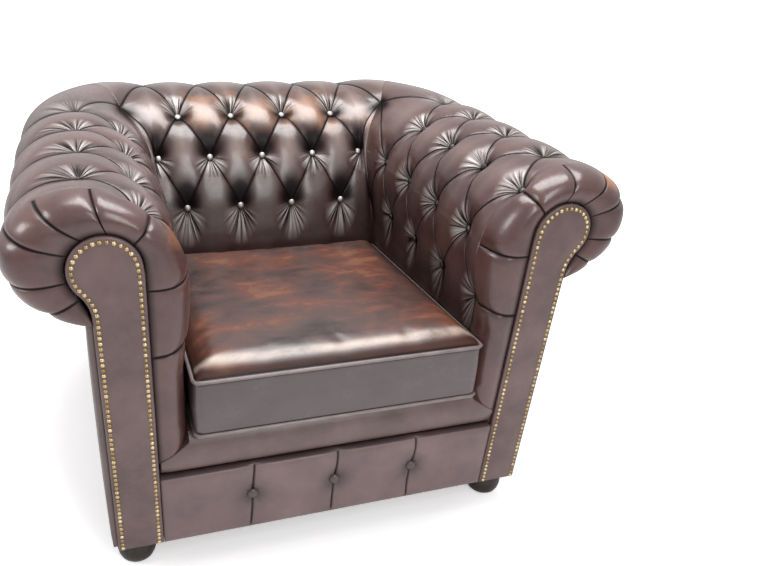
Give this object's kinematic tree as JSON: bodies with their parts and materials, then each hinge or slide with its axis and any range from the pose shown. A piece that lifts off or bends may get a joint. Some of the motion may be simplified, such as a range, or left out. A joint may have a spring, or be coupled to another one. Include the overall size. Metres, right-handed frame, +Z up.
{
  "type": "chesterfield armchair",
  "caption": "Low deep-buttoned leather club armchair with rolled arms level with its rolled back, nailed scroll facings, a loose seat cushion and bun feet.",
  "frame": {"origin": "on the floor, at the centre of the chair's outline", "axes": "+X to the right of someone facing the chair, the chair faces -Y, +Z up"},
  "size_m": [1.04, 0.92, 0.728],
  "materials": {
    "antique_leather": "hand-rubbed antique leather, glossy, dark in the folds and tan on the crests",
    "panel_leather": "semi-gloss leather",
    "cushion_leather": "mottled rub-off leather, glossy",
    "button_metal": "polished pewter",
    "brass_nails": "antique brass",
    "beech": "sawn hardwood",
    "webbing": "elastic webbing",
    "black_cloth": "black under cloth",
    "platform_cloth": "dark lining cloth over foam",
    "foam": "foam",
    "dark_wood": "dark stained, satin",
    "zinc_steel": "zinc plated",
    "zip_tape": "dark woven tape with coil teeth",
    "zip_metal": "antique brass"
  },
  "bodies": {
    "chair": {"arm_buttons_left": "button_metal", "arm_buttons_right": "button_metal", "arm_rail_left": "beech", "arm_rail_right": "beech", "arm_tack_rail_left": "beech", "arm_tack_rail_right": "beech", "back_buttons": "button_metal", "back_rail": "beech", "back_tack_rail": "beech", "back_uprights": "beech", "base_buttons": "cushion_leather", "base_panel": "panel_leather", "corner_blocks": "beech", "facing_left": "panel_leather", "facing_nails_left": "brass_nails", "facing_nails_right": "brass_nails", "facing_right": "panel_leather", "feet_front": "dark_wood", "feet_rear": "dark_wood", "foot_bolts": "zinc_steel", "front_lip": "antique_leather", "front_post_left": "beech", "front_post_right": "beech", "front_rail": "beech", "inside_arm_left": "antique_leather", "inside_arm_right": "antique_leather", "inside_back": "antique_leather", "outside_arm_left": "panel_leather", "outside_arm_right": "panel_leather", "outside_back": "panel_leather", "rear_post_left": "beech", "rear_post_right": "beech", "rear_rail": "beech", "scroll_board_left": "beech", "scroll_board_right": "beech", "seat_platform": "platform_cloth", "side_rail_left": "beech", "side_rail_right": "beech", "under_cloth": "black_cloth", "webbing_cross": "webbing", "webbing_long": "webbing"},
    "cushion": {"cushion_cover": "cushion_leather", "cushion_core": "foam", "piping_top": "cushion_leather", "piping_bottom": "cushion_leather", "zip": "zip_tape"},
    "zip_pull": {"zip_slider": "zip_metal"}
  },
  "joints": [
    {"name": "cushion_pull_out", "type": "slide", "parent": "chair", "child": "cushion", "axis": [0, -0.9973, 0.0741], "range_m": [0, 0.6]},
    {"name": "zip_run", "type": "slide", "parent": "cushion", "child": "zip_pull", "axis": [1, 0, 0], "range_m": [0, 0.38]}
  ]
}
